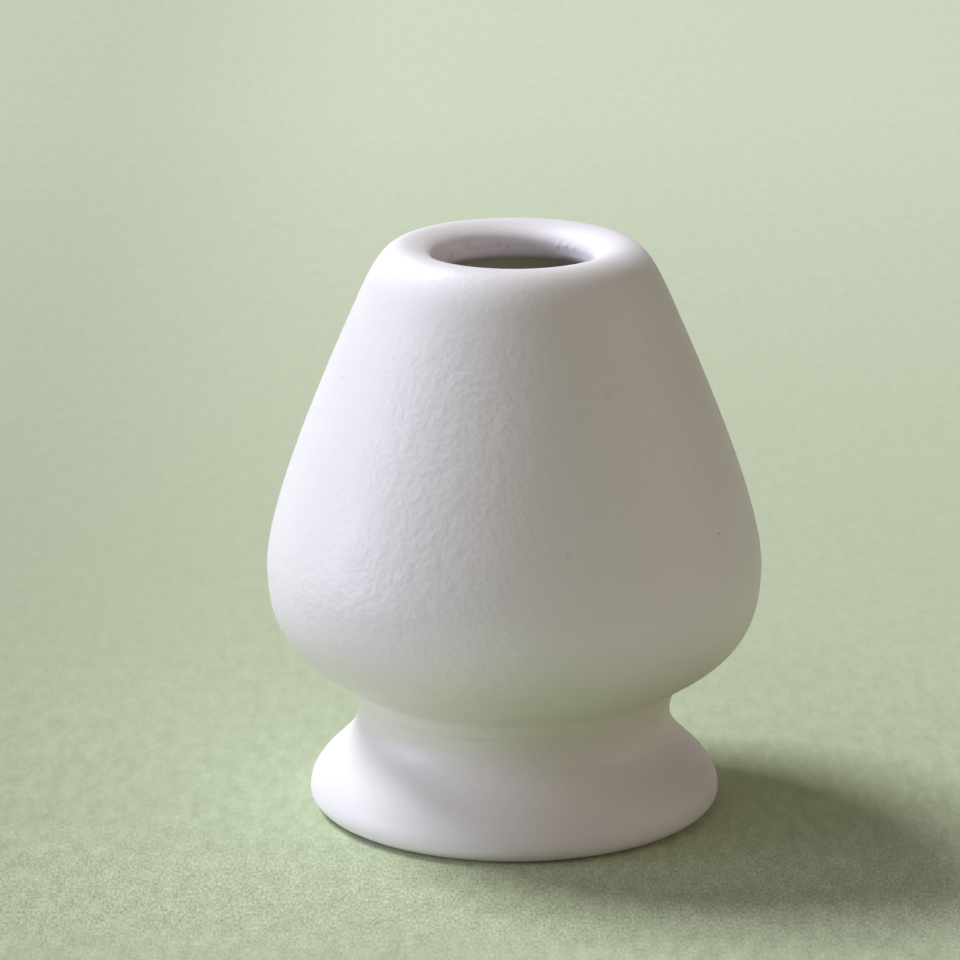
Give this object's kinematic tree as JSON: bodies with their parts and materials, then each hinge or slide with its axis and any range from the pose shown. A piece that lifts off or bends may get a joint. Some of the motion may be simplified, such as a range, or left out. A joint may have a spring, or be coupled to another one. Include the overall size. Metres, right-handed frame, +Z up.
{
  "type": "tea whisk holder",
  "caption": "Hollow pear-shaped ceramic stand with a round rolled mouth and a flared foot, which holds a bamboo tea whisk upside down so its tines dry in shape.",
  "frame": {"origin": "centre of the ring on which the foot stands, on the table's surface", "axes": "+Z up along the axis of turning, towards the mouth; the object is round, so +X and +Y are free"},
  "size_m": [0.06, 0.06, 0.07],
  "materials": {
    "bulb_glaze": "satin",
    "foot_glaze": "satin",
    "slip": "matte"
  },
  "bodies": {
    "root": {"bulb": "bulb_glaze", "foot": "foot_glaze", "joining_slip": "slip"}
  },
  "joints": []
}
